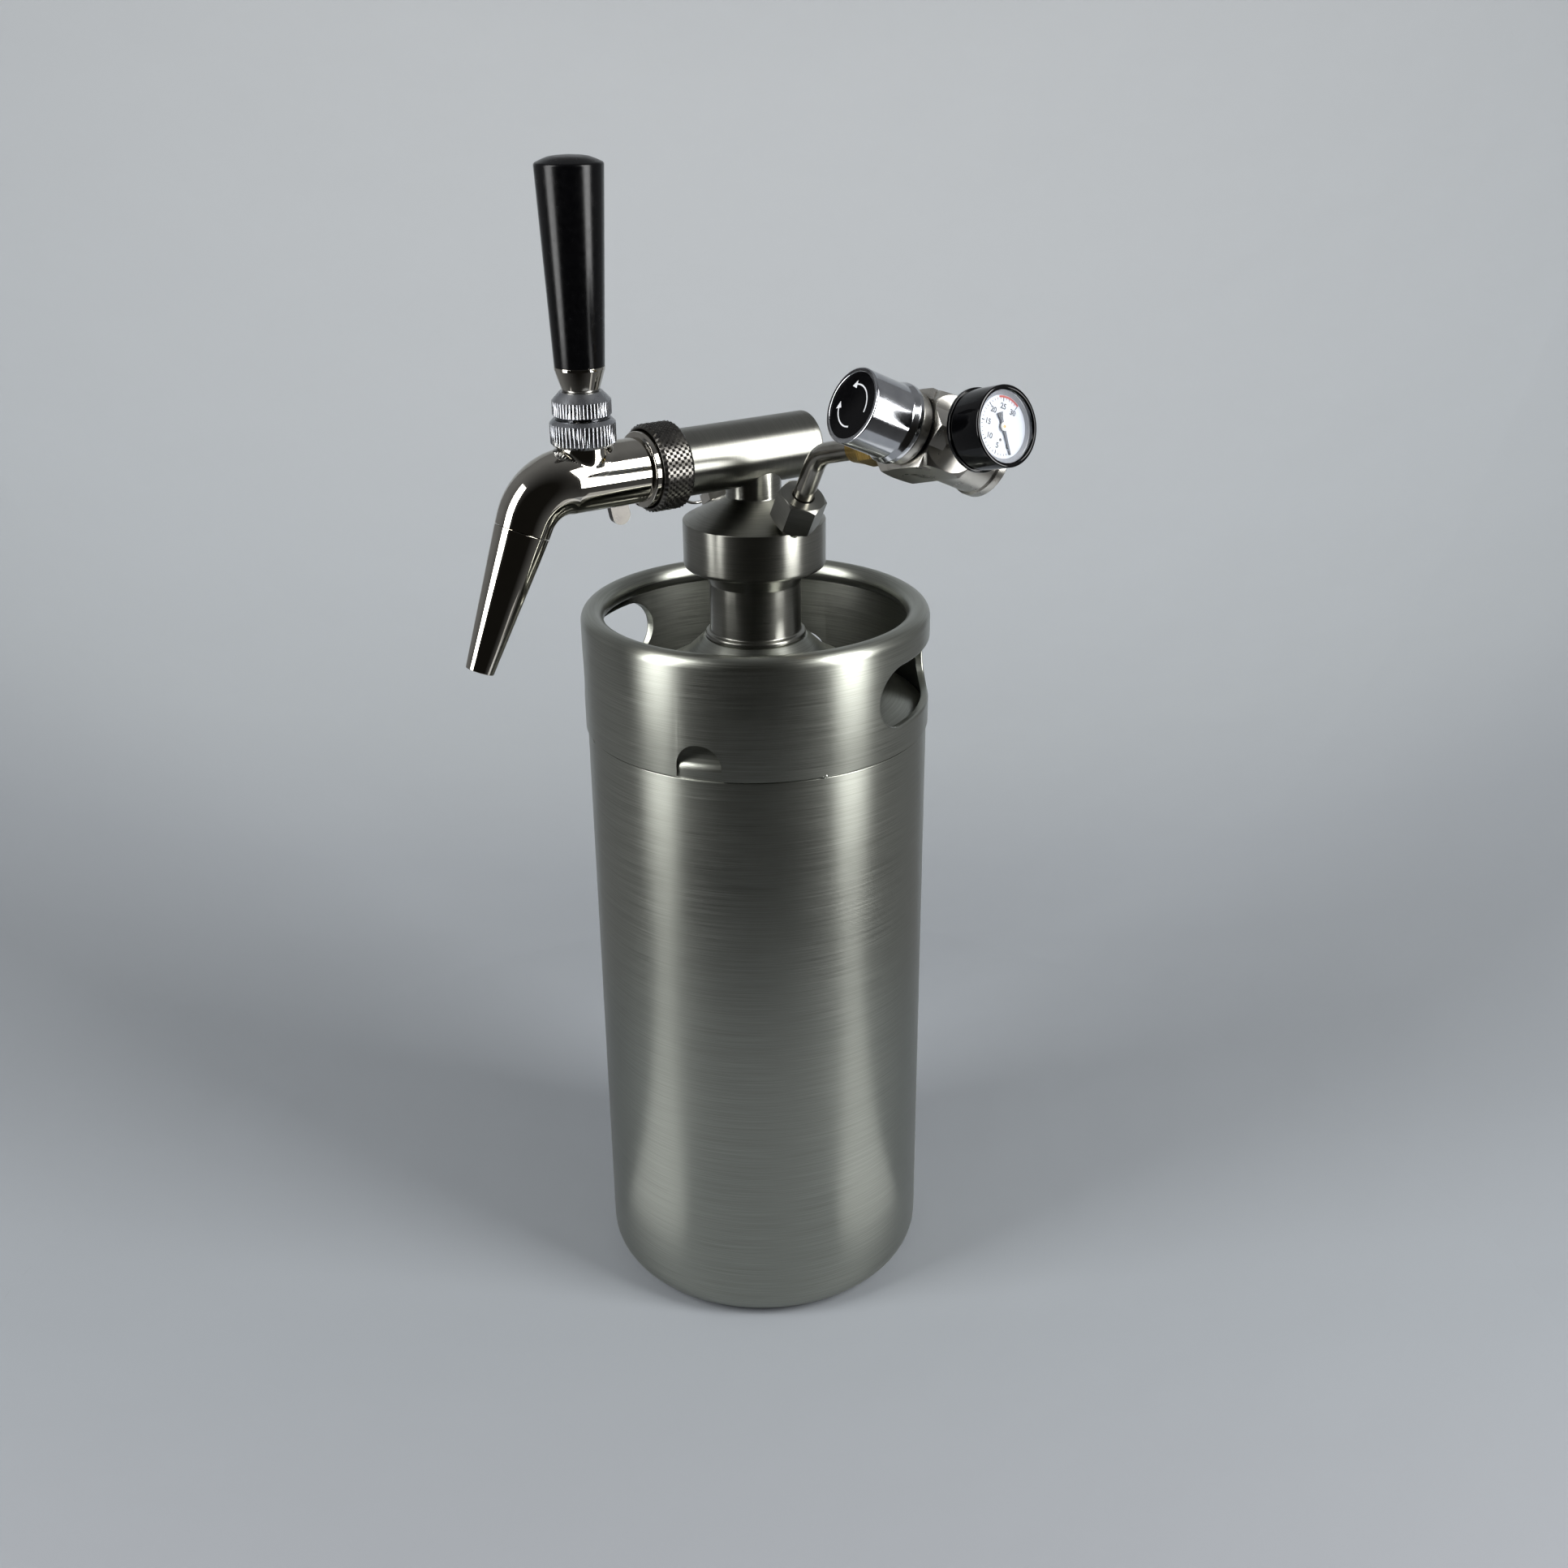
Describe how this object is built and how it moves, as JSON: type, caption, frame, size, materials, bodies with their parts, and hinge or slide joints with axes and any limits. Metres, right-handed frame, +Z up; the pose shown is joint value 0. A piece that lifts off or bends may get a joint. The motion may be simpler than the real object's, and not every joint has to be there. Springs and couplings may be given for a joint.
{
  "type": "mini keg beer dispenser",
  "caption": "Small steel keg with a rolled collar, and a screwed-on tap head with a lever tap, flow lever, relief valve, gas regulator and gauge.",
  "frame": {"origin": "centre of the keg's base, on the surface it stands on", "axes": "+Z up the keg's axis, -Y the way the tap points, +X towards the gas regulator"},
  "size_m": [0.2143, 0.1981, 0.4808],
  "materials": {
    "brushed_stainless": "vertical fine brushing",
    "turned_stainless": "fine turned",
    "polished_stainless": "mirror polished",
    "chrome": "chrome plated, knurled",
    "nickel": "satin nickel plated brass",
    "brass": "plain turned",
    "spring_steel": "drawn wire",
    "black_phenolic": "polished",
    "black_enamel": "satin enamel",
    "black_face": "moulded",
    "dial_white": "printed enamel",
    "lens": "clear",
    "seal_rubber": "moulded",
    "bearing_plastic": "moulded acetal"
  },
  "bodies": {
    "keg": {"keg_shell": "brushed_stainless", "keg_collar": "brushed_stainless", "keg_neck": "brushed_stainless"},
    "tap_handle": {"lever_shaft": "polished_stainless", "jam_nut": "chrome", "handle_ferrule": "polished_stainless", "grip_insert": "brass", "handle_grip": "black_phenolic"},
    "shuttle_valve": {"shuttle": "polished_stainless", "shuttle_seal": "seal_rubber"},
    "flow_control": {"flow_lever": "polished_stainless", "flow_shaft": "polished_stainless"},
    "flow_plug": {"flow_compensator": "polished_stainless"},
    "relief_pin": {"prv_pin": "nickel", "prv_disc": "seal_rubber"},
    "relief_ring": {"prv_ring": "spring_steel"},
    "knob": {"regulator_knob": "nickel", "knob_face": "black_face", "adjusting_screw": "spring_steel"},
    "button": {"spring_button": "brass"},
    "needle": {"gauge_needle": "black_enamel"},
    "tap_head": {"cap_body": "turned_stainless", "cap_seal": "seal_rubber", "dip_tube": "turned_stainless", "dip_tube_seal": "seal_rubber", "shank_tube": "turned_stainless", "shank_plug": "turned_stainless", "coupling_nut": "chrome", "faucet_gasket": "seal_rubber", "faucet_body": "polished_stainless", "faucet_spout": "polished_stainless", "spout_seal": "seal_rubber", "handle_bonnet": "chrome", "ball_seat": "bearing_plastic", "ball_washer": "bearing_plastic", "prv_body": "nickel", "prv_spring": "spring_steel", "gas_inlet": "turned_stainless", "check_valve": "seal_rubber", "gas_nut": "chrome", "tube_collar": "polished_stainless", "gas_tube": "polished_stainless", "outlet_nut": "brass", "outlet_stub": "brass", "regulator_body": "nickel", "diaphragm": "seal_rubber", "regulator_bonnet": "nickel", "regulator_spring": "spring_steel", "valve_poppet": "brass", "poppet_spring": "spring_steel", "piercing_pin": "brass", "socket_seal": "seal_rubber", "gauge_stem": "nickel", "gauge_back": "black_enamel", "gauge_case": "black_enamel", "gauge_lens": "lens", "gauge_dial": "dial_white", "dial_screw": "spring_steel", "bourdon_tube": "brass", "gauge_movement": "brass"}
  },
  "joints": [
    {"name": "head_lift", "type": "slide", "parent": "keg", "child": "tap_head", "axis": [0, 0, 1], "range_m": [0, 0.33]},
    {"name": "handle_pull", "type": "hinge", "parent": "tap_head", "child": "tap_handle", "pos_m": [0, -0.0742, 0.37675], "axis": [1, 0, 0], "range_deg": [0, 20]},
    {"name": "shuttle_slide", "type": "slide", "parent": "tap_head", "child": "shuttle_valve", "axis": [0, 1, 0], "range_m": [0, 0.0031]},
    {"name": "flow_turn", "type": "hinge", "parent": "tap_head", "child": "flow_control", "pos_m": [0, -0.056, 0.36775], "axis": [-1, 0, 0], "range_deg": [0, 90]},
    {"name": "plug_slide", "type": "slide", "parent": "tap_head", "child": "flow_plug", "axis": [0, -1, 0], "range_m": [0, 0.0019]},
    {"name": "relief_lift", "type": "slide", "parent": "tap_head", "child": "relief_pin", "axis": [-0.5, 0, 0.866], "range_m": [0, 0.003], "stiffness_N_per_m": 900, "springref_m": -0.002},
    {"name": "ring_swing", "type": "hinge", "parent": "relief_pin", "child": "relief_ring", "pos_m": [-0.03475, 0, 0.35802], "axis": [0, 1, 0], "range_deg": [-20, 100]},
    {"name": "knob_turn", "type": "hinge", "parent": "tap_head", "child": "knob", "pos_m": [0.10326, 0.00452, 0.39076], "axis": [0.0437, 0.9071, -0.4186], "range_deg": [0, 1080]},
    {"name": "button_slide", "type": "slide", "parent": "tap_head", "child": "button", "axis": [0.0437, 0.9071, -0.4186], "range_m": [0, 0.0038]},
    {"name": "needle_turn", "type": "hinge", "parent": "tap_head", "child": "needle", "pos_m": [0.10326, 0.00452, 0.39076], "axis": [-0.9626, -0.0739, -0.2608], "range_deg": [0, 243]}
  ],
  "couplings": [
    {"joint": "shuttle_slide", "follows": "handle_pull", "m_per_rad": 0.0088},
    {"joint": "plug_slide", "follows": "flow_turn", "m_per_rad": 0.00117},
    {"joint": "button_slide", "follows": "knob_turn", "m_per_rad": 0.00019894}
  ]
}
